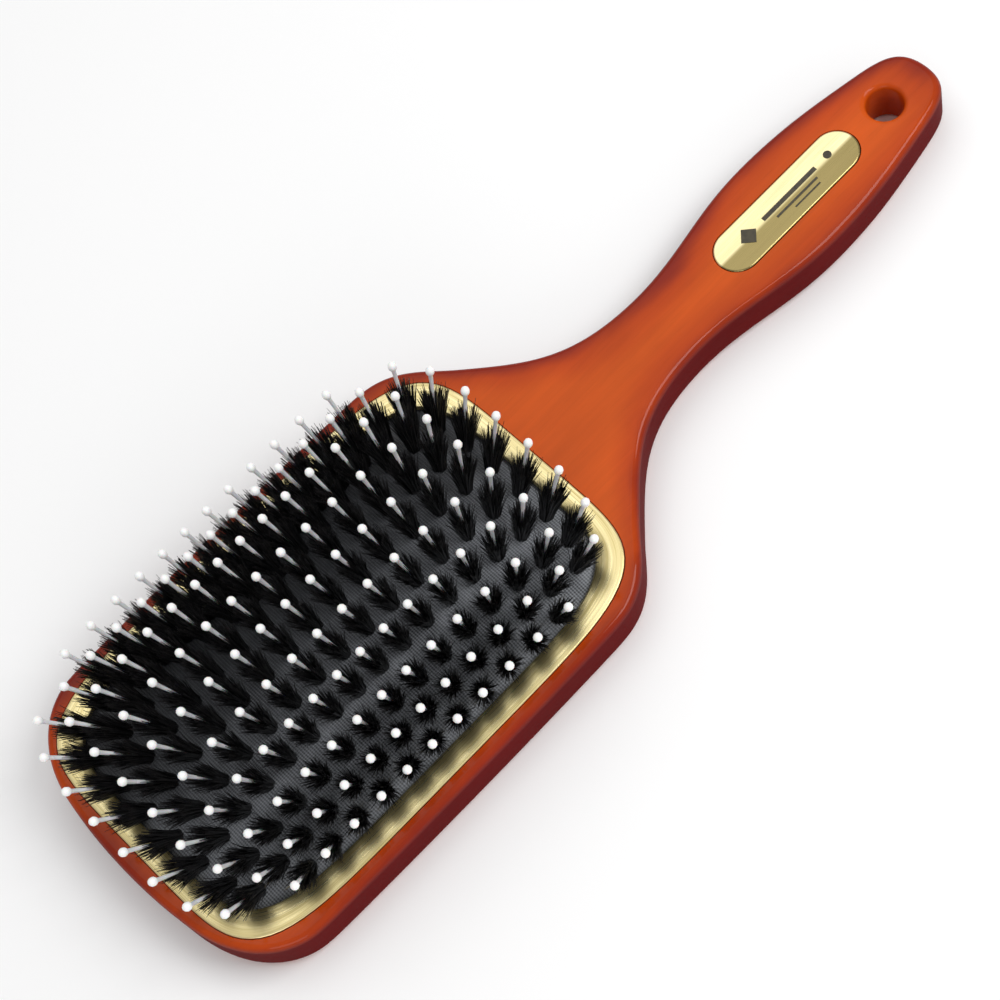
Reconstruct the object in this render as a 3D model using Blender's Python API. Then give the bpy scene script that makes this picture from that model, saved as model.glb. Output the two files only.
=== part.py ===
"""Paddle hairbrush with a pneumatic cushion, in metres: X across, Y towards the handle, Z up from the flat back."""

import math

import bmesh
import bpy

MM = 0.001

# Wooden body, from the flat back up
BODY_THICK = 12.5 * MM
TOP_ROUND = 1.8 * MM
BACK_ROUND = 3.0 * MM
HEAD_HALF_WIDTH = 41.8 * MM
HEAD_HALF_LENGTH = 64.2 * MM
HEAD_CORNER = 20.0 * MM
SHOULDER_Y = HEAD_HALF_LENGTH - 21.2 * MM
SHOULDER_SLOPE_X = HEAD_HALF_WIDTH - 14.2 * MM
SHOULDER_SLOPE_Y = HEAD_HALF_LENGTH
NECK_HALF_WIDTH = 9.7 * MM
NECK_Y = HEAD_HALF_LENGTH + 36.8 * MM
GRIP_HALF_WIDTH = 14.4 * MM
GRIP_Y = NECK_Y + 39.0 * MM
TAIL_HALF_WIDTH = 11.0 * MM
TAIL_Y = GRIP_Y + 31.5 * MM
HANDLE_END_Y = TAIL_Y + 14.8 * MM
HANG_HOLE_Y = TAIL_Y + 1.2 * MM
HANG_HOLE_RADIUS = 4.4 * MM
HANG_HOLE_ROUND = 0.9 * MM
OUTLINE_STEPS = 5

# Cushion pocket, and what is clamped in it
GAP = 0.3 * MM
SQUARENESS = 5.5
RIM_SIDE = 3.1 * MM
RIM_END = 4.3 * MM
RING_HALF_WIDTH = HEAD_HALF_WIDTH - RIM_SIDE
RING_HALF_LENGTH = HEAD_HALF_LENGTH - RIM_END
RING_WIDTH = 5.0 * MM
RING_THICK = 1.2 * MM
RING_PROUD = 0.3 * MM
RING_EDGE = 0.3 * MM
RIM_OVERLAP = 1.6 * MM
MEMBRANE_THICK = 1.2 * MM
POCKET_DEPTH = 7.5 * MM
DOME_HEIGHT = 7.5 * MM
DOME_POWER = 3.0
RING_POINTS = 44
DOME_RINGS = (1.0, 0.9, 0.78, 0.62, 0.42, 0.2)

# Badge let into the grip
BADGE_Y = GRIP_Y + 0.5 * MM
BADGE_LENGTH = 43.0 * MM
BADGE_WIDTH = 11.0 * MM
BADGE_THICK = 0.9 * MM
BADGE_PROUD = 0.2 * MM
BADGE_EDGE = 0.2 * MM
ADHESIVE_THICK = 0.2 * MM
ADHESIVE_INSET = 0.6 * MM
BADGE_STEPS = 6

# Tufts stand in columns along the brush: letter, place across as a share of the dome, odd or even count
COLUMNS = (
    ("a", -0.895, "even"),
    ("b", -0.760, "odd"),
    ("c", -0.599, "even"),
    ("d", -0.371, "odd"),
    ("e", -0.129, "odd"),
    ("f", 0.129, "odd"),
    ("g", 0.371, "even"),
    ("h", 0.599, "odd"),
    ("i", 0.760, "even"),
    ("j", 0.895, "odd"),
)
TUFT_PITCH = 6.8 * MM
TUFT_MARGIN = 2.3 * MM
END_MARGIN = 3.9 * MM
TUFT_HEIGHT = 11.5 * MM
PIN_HEIGHT = 17.3 * MM
PIN_BALL = 2.0 * MM
PIN_WIDTH = 0.8 * MM
LEAN_X = (0.246, 0.280)
LEAN_Y = (-0.050, 0.700)
LEAN_FORWARD = -0.13

# Distances across a column, outward from its centre line
TUFT_FOOT = (-1.35 * MM, 0.25 * MM)
TUFT_TOP = (-2.3 * MM, 0.2 * MM)
PIN_CENTRE = 0.95 * MM
TUFT_FOOT_HALF_Y = 0.9 * MM
TUFT_TOP_HALF_Y = 1.9 * MM
HOLE_CLEARANCE = 0.6 * MM
STRIP_THICK = 0.8 * MM

SEAT_Z = BODY_THICK + RING_PROUD - RING_THICK
FLANGE_TOP = SEAT_Z - GAP
FLANGE_FLOOR = FLANGE_TOP - MEMBRANE_THICK
RING_INNER_WIDTH = RING_HALF_WIDTH - RING_WIDTH
RING_INNER_LENGTH = RING_HALF_LENGTH - RING_WIDTH
DOME_HALF_WIDTH = RING_INNER_WIDTH - GAP
DOME_HALF_LENGTH = RING_INNER_LENGTH - GAP
FLANGE_HALF_WIDTH = DOME_HALF_WIDTH + RIM_OVERLAP
FLANGE_HALF_LENGTH = DOME_HALF_LENGTH + RIM_OVERLAP

for old in list(bpy.data.objects):
    bpy.data.objects.remove(old)

parts = bpy.data.collections.new("paddle_hairbrush")
cutters = bpy.data.collections.new("cutters")
bpy.context.scene.collection.children.link(parts)
bpy.context.scene.collection.children.link(cutters)


def finish_of(name, colour, roughness, metallic):
    material = bpy.data.materials.new(name)
    material.use_nodes = True
    shader = material.node_tree.nodes["Principled BSDF"]
    shader.inputs["Base Color"].default_value = (*colour, 1.0)
    shader.inputs["Roughness"].default_value = roughness
    shader.inputs["Metallic"].default_value = metallic
    return material


def new_part(name, mesh, material):
    part = bpy.data.objects.new(name, mesh)
    part.data.materials.clear()
    part.data.materials.append(material)
    parts.objects.link(part)
    return part


def slab_mesh(name, loops, low, high):
    """A flat outline with any inner loops as holes, filled and extruded between two heights."""
    curve = bpy.data.curves.new(name, "CURVE")
    curve.dimensions = "2D"
    curve.fill_mode = "BOTH"
    curve.extrude = (high - low) / 2
    for loop in loops:
        spline = curve.splines.new("POLY")
        spline.points.add(len(loop) - 1)
        spline.use_cyclic_u = True
        for point, (x, y) in zip(spline.points, loop):
            point.co = (x, y, 0, 1)
    holder = bpy.data.objects.new(name, curve)
    bpy.context.scene.collection.objects.link(holder)
    graph = bpy.context.evaluated_depsgraph_get()
    mesh = bpy.data.meshes.new_from_object(holder.evaluated_get(graph))
    bpy.data.objects.remove(holder)
    bm = bmesh.new()
    bm.from_mesh(mesh)
    bmesh.ops.remove_doubles(bm, verts=bm.verts, dist=1e-6)
    bmesh.ops.translate(bm, verts=bm.verts, vec=(0, 0, (high + low) / 2))
    bmesh.ops.recalc_face_normals(bm, faces=bm.faces)
    bm.to_mesh(mesh)
    bm.free()
    return mesh


def round_rim(mesh, height, radius, segments):
    """Rounds the sharp edges that lie at one height."""
    bm = bmesh.new()
    bm.from_mesh(mesh)
    at_height = [
        edge
        for edge in bm.edges
        if all(abs(v.co.z - height) < 1e-6 for v in edge.verts)
        and len(edge.link_faces) == 2
        and edge.calc_face_angle() > math.radians(45)
    ]
    bmesh.ops.bevel(
        bm, geom=at_height, offset=radius, segments=segments, profile=0.5, affect="EDGES", clamp_overlap=True
    )
    bm.to_mesh(mesh)
    bm.free()


def cut(part, name, mesh):
    """Takes a closed mesh away from a part, and keeps it as a hidden cutter."""
    tool = bpy.data.objects.new(name, mesh)
    tool.hide_render = True
    tool.display_type = "WIRE"
    cutters.objects.link(tool)
    boolean = part.modifiers.new(name, "BOOLEAN")
    boolean.solver = "EXACT"
    boolean.operation = "DIFFERENCE"
    boolean.object = tool


def bezier(start, start_handle, end_handle, end):
    """Points along one Bezier stretch, leaving out its end."""
    found = []
    for step in range(OUTLINE_STEPS):
        t = step / OUTLINE_STEPS
        weights = ((1 - t) ** 3, 3 * t * (1 - t) ** 2, 3 * t * t * (1 - t), t**3)
        nodes = (start, start_handle, end_handle, end)
        found.append(tuple(sum(w * p[axis] for w, p in zip(weights, nodes)) for axis in (0, 1)))
    return found


def body_outline():
    """The paddle and handle seen from above: the right half from the bottom to the tip, then its mirror."""
    corner_x = HEAD_HALF_WIDTH - HEAD_CORNER
    corner_y = -HEAD_HALF_LENGTH + HEAD_CORNER
    sag = 0.09 * HEAD_CORNER
    base = (0, -HEAD_HALF_LENGTH)
    corner_start = (corner_x, -HEAD_HALF_LENGTH + sag)
    corner_end = (HEAD_HALF_WIDTH - 0.25 * sag, corner_y)
    shoulder = (HEAD_HALF_WIDTH - 0.25 * sag, SHOULDER_Y)
    slope = (SHOULDER_SLOPE_X, SHOULDER_SLOPE_Y)
    neck = (NECK_HALF_WIDTH, NECK_Y)
    grip = (GRIP_HALF_WIDTH, GRIP_Y)
    tail = (TAIL_HALF_WIDTH, TAIL_Y)
    tip = (0, HANDLE_END_Y)
    mid_y = (corner_y + SHOULDER_Y) / 2
    middle = (HEAD_HALF_WIDTH, mid_y)
    half = bezier(base, (corner_x / 2, base[1]), (corner_x * 0.78, base[1] + 0.62 * sag), corner_start)
    half += bezier(
        corner_start,
        (corner_x + 0.58 * HEAD_CORNER, corner_start[1] + 0.11 * HEAD_CORNER),
        (corner_end[0] - 0.04 * HEAD_CORNER, corner_y - 0.43 * HEAD_CORNER),
        corner_end,
    )
    half += [corner_end, middle]
    half += bezier(
        shoulder,
        (shoulder[0] - 0.1 * sag, SHOULDER_Y + 0.55 * (SHOULDER_SLOPE_Y - SHOULDER_Y)),
        (slope[0] + 0.36 * (shoulder[0] - slope[0]), slope[1] - 0.26 * (slope[1] - SHOULDER_Y)),
        slope,
    )
    half += bezier(
        slope,
        (slope[0] - 0.62 * (slope[0] - neck[0]), slope[1] + 0.3 * (NECK_Y - slope[1])),
        (neck[0] + 0.02 * (slope[0] - neck[0]), NECK_Y - 0.52 * (NECK_Y - slope[1])),
        neck,
    )
    reach = (GRIP_Y - NECK_Y) / 2.6
    half += bezier(neck, (neck[0], NECK_Y + reach), (grip[0], GRIP_Y - reach), grip)
    reach = (TAIL_Y - GRIP_Y) / 2.6
    tail_lean = 0.19
    half += bezier(grip, (grip[0], GRIP_Y + reach), (tail[0] + tail_lean * reach, TAIL_Y - reach), tail)
    reach = HANDLE_END_Y - TAIL_Y
    half += bezier(
        tail, (tail[0] - tail_lean * 0.61 * reach, TAIL_Y + 0.61 * reach), (tail[0] * 0.785, HANDLE_END_Y), tip
    )
    left = [(-x, y) for x, y in reversed(half[1:])]
    return half + [tip] + left


def pad_outline(half_width, half_length, count=RING_POINTS):
    """A rounded rectangle as a superellipse."""
    found = []
    for step in range(count):
        angle = 2 * math.pi * (step + 0.5) / count
        across = math.cos(angle)
        along = math.sin(angle)
        reach = (abs(across) ** SQUARENESS + abs(along) ** SQUARENESS) ** (-1 / SQUARENESS)
        found.append((half_width * across * reach, half_length * along * reach))
    return found


def stadium(half_width, half_length, centre_y):
    """A bar with round ends, along Y."""
    straight = half_length - half_width
    found = []
    for side in (1, -1):
        for step in range(BADGE_STEPS + 1):
            angle = math.pi * step / BADGE_STEPS
            x = side * half_width * math.cos(angle)
            y = centre_y + side * (straight + half_width * math.sin(angle))
            found.append((x, y))
    return found


def dome_share(x, y):
    """How far up the dome a point is: 1 in the middle, 0 at the ring."""
    rho = (abs(x / DOME_HALF_WIDTH) ** SQUARENESS + abs(y / DOME_HALF_LENGTH) ** SQUARENESS) ** (1 / SQUARENESS)
    return max(0.0, 1 - rho**DOME_POWER)


def dome_top(x, y):
    return FLANGE_TOP + DOME_HEIGHT * dome_share(x, y)


def lean(share, terms):
    """Outward slope of a tuft that far out on the dome."""
    return terms[0] * share + terms[1] * share**3


def tuft_places(x, count):
    """Where the tufts of one column stand along Y: evenly, out to the cushion's edge at both ends."""
    edge_share = (abs(x) + TUFT_MARGIN) / DOME_HALF_WIDTH
    reach = DOME_HALF_LENGTH * (1 - edge_share**SQUARENESS) ** (1 / SQUARENESS) - END_MARGIN
    spaces = 2 * reach / TUFT_PITCH
    spaces = 2 * round(spaces / 2) if count == "odd" else 2 * math.floor(spaces / 2) + 1
    return [reach * (2 * index / spaces - 1) for index in range(spaces + 1)]


def make_body():
    mesh = slab_mesh("wood_body", [body_outline()], 0, BODY_THICK)
    round_rim(mesh, BODY_THICK, TOP_ROUND, 3)
    round_rim(mesh, 0, BACK_ROUND, 3)
    wood = new_part("wood_body", mesh, finish_of("lacquered_wood", (0.50, 0.10, 0.02), 0.25, 0.0))
    above = BODY_THICK + 5 * MM
    seat = pad_outline(RING_HALF_WIDTH + GAP, RING_HALF_LENGTH + GAP)
    cut(wood, "ring_seat", slab_mesh("ring_seat", [seat], SEAT_Z - GAP, above))
    ledge = pad_outline(FLANGE_HALF_WIDTH + GAP, FLANGE_HALF_LENGTH + GAP)
    cut(wood, "membrane_ledge", slab_mesh("membrane_ledge", [ledge], FLANGE_FLOOR - GAP, above))
    pocket = pad_outline(DOME_HALF_WIDTH, DOME_HALF_LENGTH)
    cut(wood, "cushion_pocket", slab_mesh("cushion_pocket", [pocket], BODY_THICK - POCKET_DEPTH, above))
    recess = stadium(BADGE_WIDTH / 2 + GAP, BADGE_LENGTH / 2 + GAP, BADGE_Y)
    floor = BODY_THICK + BADGE_PROUD - BADGE_THICK - ADHESIVE_THICK - 2 * GAP
    cut(wood, "badge_recess", slab_mesh("badge_recess", [recess], floor, above))
    cut(wood, "hang_hole", hang_hole_cutter())
    return wood


def hang_hole_cutter():
    """A waisted plug: the hole's bore, flared by the rounding at both faces."""
    flare = HANG_HOLE_RADIUS + HANG_HOLE_ROUND
    profile = (
        (flare, -2 * MM),
        (flare, 0.0),
        (HANG_HOLE_RADIUS + 0.3 * HANG_HOLE_ROUND, 0.3 * HANG_HOLE_ROUND),
        (HANG_HOLE_RADIUS, HANG_HOLE_ROUND),
        (HANG_HOLE_RADIUS, BODY_THICK - HANG_HOLE_ROUND),
        (HANG_HOLE_RADIUS + 0.3 * HANG_HOLE_ROUND, BODY_THICK - 0.3 * HANG_HOLE_ROUND),
        (flare, BODY_THICK),
        (flare, BODY_THICK + 2 * MM),
    )
    bm = bmesh.new()
    sides = 20
    rings = []
    for radius, z in profile:
        made = bmesh.ops.create_circle(bm, cap_ends=False, segments=sides, radius=radius)
        bmesh.ops.translate(bm, verts=made["verts"], vec=(0, HANG_HOLE_Y, z))
        rings.append(list({edge for vert in made["verts"] for edge in vert.link_edges}))
    for low, high in zip(rings, rings[1:]):
        bmesh.ops.bridge_loops(bm, edges=low + high)
    bmesh.ops.holes_fill(bm, edges=rings[0] + rings[-1], sides=sides)
    bmesh.ops.recalc_face_normals(bm, faces=bm.faces)
    mesh = bpy.data.meshes.new("hang_hole")
    bm.to_mesh(mesh)
    bm.free()
    return mesh


def make_ring():
    outer = pad_outline(RING_HALF_WIDTH, RING_HALF_LENGTH)
    inner = pad_outline(RING_INNER_WIDTH, RING_INNER_LENGTH)
    mesh = slab_mesh("trim_ring", [outer, inner], SEAT_Z, SEAT_Z + RING_THICK)
    round_rim(mesh, SEAT_Z + RING_THICK, RING_EDGE, 1)
    new_part("trim_ring", mesh, finish_of("brushed_brass", (0.86, 0.75, 0.36), 0.25, 1.0))


def make_membrane():
    """The domed rubber sheet: rings that climb from its clamped rim to the top, with a hole at each tuft."""
    bm = bmesh.new()
    loops = [closed_loop(bm, pad_outline(FLANGE_HALF_WIDTH, FLANGE_HALF_LENGTH), FLANGE_FLOOR)]
    for share in DOME_RINGS:
        outline = pad_outline(DOME_HALF_WIDTH * share, DOME_HALF_LENGTH * share)
        loops.append(closed_loop(bm, outline, FLANGE_FLOOR + DOME_HEIGHT * (1 - share**DOME_POWER)))
    for outer, inner in zip(loops, loops[1:]):
        bmesh.ops.bridge_loops(bm, edges=outer + inner)
    bmesh.ops.contextual_create(bm, geom=loops[-1])
    raised = bmesh.ops.extrude_face_region(bm, geom=bm.faces[:])
    tops = [item for item in raised["geom"] if isinstance(item, bmesh.types.BMVert)]
    bmesh.ops.translate(bm, verts=tops, vec=(0, 0, MEMBRANE_THICK))
    bmesh.ops.recalc_face_normals(bm, faces=bm.faces)
    if bm.calc_volume(signed=True) < 0:
        bmesh.ops.reverse_faces(bm, faces=bm.faces)
    mesh = bpy.data.meshes.new("cushion_membrane")
    bm.to_mesh(mesh)
    bm.free()
    cushion = new_part("cushion_membrane", mesh, finish_of("black_rubber", (0.02, 0.02, 0.023), 0.55, 0.0))
    cut(cushion, "tuft_holes", hole_cutters())


def closed_loop(bm, outline, z):
    """A closed ring of edges through the outline's points at one height."""
    made = bmesh.ops.create_circle(bm, cap_ends=False, segments=len(outline), radius=1)
    for vert, (x, y) in zip(made["verts"], outline):
        vert.co = (x, y, z)
    return list({edge for vert in made["verts"] for edge in vert.link_edges})


def hole_cutters():
    bm = bmesh.new()
    half_x = PIN_CENTRE + PIN_WIDTH / 2 + HOLE_CLEARANCE
    half_y = TUFT_FOOT_HALF_Y + HOLE_CLEARANCE
    for _, share, count in COLUMNS:
        x = share * DOME_HALF_WIDTH
        for y in tuft_places(x, count):
            root, direction = stem(x, y)
            rise = GAP + MEMBRANE_THICK / 2
            centre = [start + step * rise for start, step in zip(root, direction)]
            made = bmesh.ops.create_cube(bm, size=2)
            bmesh.ops.scale(bm, verts=made["verts"], vec=(half_x, half_y, 4 * MM))
            bmesh.ops.translate(bm, verts=made["verts"], vec=centre)
    mesh = bpy.data.meshes.new("tuft_holes")
    bm.to_mesh(mesh)
    bm.free()
    return mesh


def strip_with_cells(low, high, places, half_y):
    """A closed strip under the membrane that follows the dome, and its upper face at each place."""
    stations = sorted({place + side * half_y for place in places for side in (1, -1)})
    bm = bmesh.new()
    bmesh.ops.create_grid(bm, x_segments=1, y_segments=len(stations) - 1, size=1)
    for vert in bm.verts:
        row = round((vert.co.y + 1) / 2 * (len(stations) - 1))
        vert.co.x = low if vert.co.x < 0 else high
        vert.co.y = stations[row]
        vert.co.z = dome_top(vert.co.x, vert.co.y) - MEMBRANE_THICK - GAP - STRIP_THICK
    raised = bmesh.ops.extrude_face_region(bm, geom=bm.faces[:])
    tops = [item for item in raised["geom"] if isinstance(item, bmesh.types.BMVert)]
    bmesh.ops.translate(bm, verts=tops, vec=(0, 0, STRIP_THICK))
    upper = [item for item in raised["geom"] if isinstance(item, bmesh.types.BMFace)]
    bmesh.ops.recalc_face_normals(bm, faces=bm.faces)
    cells = sorted(upper, key=lambda face: face.calc_center_median().y)[::2]
    return bm, cells


def grow(bm, face, corners):
    """Extrudes one four-sided face to a new ring of corners, given as (x, y) signs to points."""
    made = bmesh.ops.extrude_discrete_faces(bm, faces=[face])["faces"][0]
    middle = made.calc_center_median()
    for vert in made.verts:
        side_x = 1 if vert.co.x > middle.x else -1
        side_y = 1 if vert.co.y > middle.y else -1
        vert.co = corners(side_x, side_y)
    return made


def stem(x, y):
    """The root of a tuft or pin, on its strip under the membrane, and the way it points."""
    slope_x = lean(x / DOME_HALF_WIDTH, LEAN_X)
    slope_y = LEAN_FORWARD + lean(y / DOME_HALF_LENGTH, LEAN_Y)
    length = math.sqrt(1 + slope_x**2 + slope_y**2)
    direction = (slope_x / length, slope_y / length, 1 / length)
    return (x, y, dome_top(x, y) - MEMBRANE_THICK - GAP), direction


def ring_at(root, direction, height, left, right, half_y):
    """Corner places of a level ring around a stem, that far up it, from left to right across the column."""
    centre = [start + step * height for start, step in zip(root, direction)]

    def corner(side_x, side_y):
        across = right if side_x > 0 else left
        return (centre[0] + across, centre[1] + side_y * half_y, centre[2])

    return corner


def row_object(name, bm, material):
    mesh = bpy.data.meshes.new(name)
    bmesh.ops.recalc_face_normals(bm, faces=bm.faces)
    bm.to_mesh(mesh)
    bm.free()
    return new_part(name, mesh, material)


def ordered(pair, outward):
    """A pair of outward distances as left and right offsets along X."""
    return tuple(sorted(outward * value for value in pair))


def make_tuft_row(letter, x, count, material):
    outward = 1 if x > 0 else -1
    foot = ordered(TUFT_FOOT, outward)
    top = ordered(TUFT_TOP, outward)
    places = tuft_places(x, count)
    bm, cells = strip_with_cells(x + foot[0], x + foot[1], places, TUFT_FOOT_HALF_Y)
    for cell, y in zip(cells, places):
        grow(bm, cell, ring_at(*stem(x, y), GAP + MEMBRANE_THICK + TUFT_HEIGHT, *top, TUFT_TOP_HALF_Y))
    row_object(f"tuft_row_{letter}", bm, material)


def make_pin_row(letter, x, count, material):
    outward = 1 if x > 0 else -1
    half = PIN_WIDTH / 2
    ball = PIN_BALL / 2
    shaft = ordered((PIN_CENTRE - half, PIN_CENTRE + half), outward)
    belly = ordered((PIN_CENTRE - ball, PIN_CENTRE + ball), outward)
    crown = ordered((PIN_CENTRE - ball / 2, PIN_CENTRE + ball / 2), outward)
    middle = GAP + MEMBRANE_THICK + PIN_HEIGHT
    places = tuft_places(x, count)
    bm, cells = strip_with_cells(x + shaft[0], x + shaft[1], places, half)
    for cell, y in zip(cells, places):
        face = grow(bm, cell, ring_at(*stem(x, y), middle - ball, *shaft, half))
        face = grow(bm, face, ring_at(*stem(x, y), middle, *belly, ball))
        grow(bm, face, ring_at(*stem(x, y), middle + ball, *crown, ball / 2))
    row_object(f"pin_row_{letter}", bm, material)


def make_badge():
    plate_low = BODY_THICK + BADGE_PROUD - BADGE_THICK
    outline = stadium(BADGE_WIDTH / 2, BADGE_LENGTH / 2, BADGE_Y)
    mesh = slab_mesh("badge_plate", [outline], plate_low, plate_low + BADGE_THICK)
    round_rim(mesh, plate_low + BADGE_THICK, BADGE_EDGE, 1)
    new_part("badge_plate", mesh, finish_of("polished_brass", (0.90, 0.80, 0.42), 0.18, 1.0))
    inset = stadium(BADGE_WIDTH / 2 - ADHESIVE_INSET, BADGE_LENGTH / 2 - ADHESIVE_INSET, BADGE_Y)
    film_high = plate_low - GAP
    film = slab_mesh("badge_adhesive", [inset], film_high - ADHESIVE_THICK, film_high)
    new_part("badge_adhesive", film, finish_of("adhesive_film", (0.72, 0.70, 0.62), 0.6, 0.0))


make_body()
make_ring()
make_membrane()
make_badge()
bristle = finish_of("boar_bristle", (0.012, 0.011, 0.012), 0.5, 0.0)
nylon = finish_of("white_nylon", (0.88, 0.88, 0.86), 0.35, 0.0)
for column_letter, column_share, tuft_count in COLUMNS:
    make_tuft_row(column_letter, column_share * DOME_HALF_WIDTH, tuft_count, bristle)
    make_pin_row(column_letter, column_share * DOME_HALF_WIDTH, tuft_count, nylon)
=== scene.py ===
import math
import random

import bmesh
import bpy
from mathutils import Matrix, Vector


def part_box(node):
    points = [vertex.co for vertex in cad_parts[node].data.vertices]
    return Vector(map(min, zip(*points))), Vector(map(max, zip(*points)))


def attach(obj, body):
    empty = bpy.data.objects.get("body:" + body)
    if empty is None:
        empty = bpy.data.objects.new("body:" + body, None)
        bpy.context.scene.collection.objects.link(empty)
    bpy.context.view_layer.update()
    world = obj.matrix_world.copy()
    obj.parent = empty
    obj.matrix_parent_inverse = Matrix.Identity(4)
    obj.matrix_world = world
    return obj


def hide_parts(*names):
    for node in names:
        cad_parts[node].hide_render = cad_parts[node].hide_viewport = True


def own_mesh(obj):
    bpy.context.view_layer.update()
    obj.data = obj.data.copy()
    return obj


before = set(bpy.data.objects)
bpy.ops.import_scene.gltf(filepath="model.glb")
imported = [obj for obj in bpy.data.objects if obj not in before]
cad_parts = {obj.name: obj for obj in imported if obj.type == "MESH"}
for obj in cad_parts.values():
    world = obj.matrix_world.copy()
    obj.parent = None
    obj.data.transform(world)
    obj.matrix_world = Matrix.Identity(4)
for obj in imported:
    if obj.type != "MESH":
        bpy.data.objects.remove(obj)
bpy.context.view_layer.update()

mm = 0.001
woodLow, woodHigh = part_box("wood_body")
ringLow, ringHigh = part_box("trim_ring")
rubberLow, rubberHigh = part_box("cushion_membrane")
badgeLow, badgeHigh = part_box("badge_plate")
scene = bpy.context.scene


# shapes shared by several pieces

def curveBetween(start, startHandle, endHandle, end, steps):
    found = []
    for step in range(steps):
        t = step / steps
        weights = ((1 - t) ** 3, 3 * t * (1 - t) ** 2, 3 * t * t * (1 - t), t**3)
        corners = (start, startHandle, endHandle, end)
        found.append(tuple(sum(w * c[axis] for w, c in zip(weights, corners)) for axis in (0, 1)))
    return found


def smoothedLoop(points, rounds):
    for _ in range(rounds):
        before = points[-1:] + points[:-1]
        after = points[1:] + points[:1]
        points = [
            tuple((a[axis] + 2 * b[axis] + c[axis]) / 4 for axis in (0, 1))
            for a, b, c in zip(before, points, after)
        ]
    return points


def padOutline(halfWidth, halfLength, count):
    # the rounded square of the head, as a superellipse
    power = cushion["squareness"]
    found = []
    for step in range(count):
        angle = 2 * math.pi * (step + 0.5) / count
        across, along = math.cos(angle), math.sin(angle)
        reach = (abs(across) ** power + abs(along) ** power) ** (-1 / power)
        found.append((halfWidth * across * reach, halfLength * along * reach))
    return found


def stadiumOutline(halfWidth, halfLength, centreY, steps=24):
    straight = halfLength - halfWidth
    found = []
    for side in (1, -1):
        for step in range(steps + 1):
            angle = math.pi * step / steps
            x = side * halfWidth * math.cos(angle)
            y = centreY + side * (straight + halfWidth * math.sin(angle))
            found.append((x, y))
    return found


def loopAt(bm, outline, z):
    made = bmesh.ops.create_circle(bm, cap_ends=False, segments=len(outline), radius=1)["verts"]
    for vert, (x, y) in zip(made, outline):
        vert.co = (x, y, z)
    return made


def edgesOf(verts):
    return list({edge for vert in verts for edge in vert.link_edges})


def slab(outline, low, high):
    bm = bmesh.new()
    rim = loopAt(bm, outline, low)
    bmesh.ops.contextual_create(bm, geom=edgesOf(rim))
    raised = bmesh.ops.extrude_face_region(bm, geom=bm.faces[:])["geom"]
    tops = [item for item in raised if isinstance(item, bmesh.types.BMVert)]
    bmesh.ops.translate(bm, verts=tops, vec=(0, 0, high - low))
    bmesh.ops.recalc_face_normals(bm, faces=bm.faces)
    return bm


def roundEdgesAt(bm, z, radius, segments):
    sharp = [
        edge
        for edge in bm.edges
        if all(abs(v.co.z - z) < 1e-6 for v in edge.verts)
        and len(edge.link_faces) == 2
        and edge.calc_face_angle() > math.radians(45)
    ]
    bmesh.ops.bevel(
        bm, geom=sharp, affect="EDGES", offset=radius, segments=segments, profile=0.5, material=-1
    )


def objectFrom(name, bm, *materials):
    mesh = bpy.data.meshes.new(name)
    bm.to_mesh(mesh)
    bm.free()
    for material in materials:
        mesh.materials.append(material)
    made = bpy.data.objects.new(name, mesh)
    scene.collection.objects.link(made)
    return made


def carve(piece, *tools):
    # cuts each tool out of the piece, then drops the tools
    for tool in tools:
        cutter = objectFrom("cutter", tool)
        boolean = piece.modifiers.new("carve", "BOOLEAN")
        boolean.operation = "DIFFERENCE"
        boolean.solver = "EXACT"
        boolean.object = cutter
        bpy.context.view_layer.update()
        graph = bpy.context.evaluated_depsgraph_get()
        carved = bpy.data.meshes.new_from_object(piece.evaluated_get(graph))
        piece.modifiers.clear()
        piece.data = carved
        bpy.data.objects.remove(cutter)


def shadeSmooth(piece, degrees):
    for polygon in piece.data.polygons:
        polygon.use_smooth = True
    piece.data.set_sharp_from_angle(angle=math.radians(degrees))


def settle(piece, body, slotName, *nodes):
    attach(piece, body)
    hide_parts(*nodes)
    print("made", piece.name, len(piece.data.polygons), "faces")


# node groups and material helpers

def addNode(tree, kind, **values):
    made = tree.nodes.new(kind)
    for key, value in values.items():
        setattr(made, key, value)
    return made


def mathNode(tree, operation, first, second=None, third=None):
    made = addNode(tree, "ShaderNodeMath", operation=operation)
    for socket, value in zip(made.inputs, (first, second, third)):
        if value is None:
            continue
        if isinstance(value, (int, float)):
            socket.default_value = value
        else:
            tree.links.new(value, socket)
    return made.outputs[0]


def distanceNode(tree, first, second):
    squares = [mathNode(tree, "MULTIPLY", side, side) for side in (first, second)]
    return mathNode(tree, "SQRT", mathNode(tree, "ADD", *squares))


def rangeNode(tree, value, fromLow, fromHigh, toLow=0.0, toHigh=1.0, smooth=False):
    kind = "SMOOTHSTEP" if smooth else "LINEAR"
    made = addNode(tree, "ShaderNodeMapRange", interpolation_type=kind)
    tree.links.new(value, made.inputs["Value"])
    names = ("From Min", "From Max", "To Min", "To Max")
    for name, setting in zip(names, (fromLow, fromHigh, toLow, toHigh)):
        made.inputs[name].default_value = setting
    return made.outputs["Result"]


def mixColour(tree, amount, first, second, blend="MIX"):
    made = addNode(tree, "ShaderNodeMix", data_type="RGBA", blend_type=blend)
    sockets = (made.inputs[0], made.inputs[6], made.inputs[7])  # factor and the two colours
    for socket, value in zip(sockets, (amount, first, second)):
        if isinstance(value, tuple):
            socket.default_value = (*value, 1.0)
        elif isinstance(value, (int, float)):
            socket.default_value = value
        else:
            tree.links.new(value, socket)
    return made.outputs[2]


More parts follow.
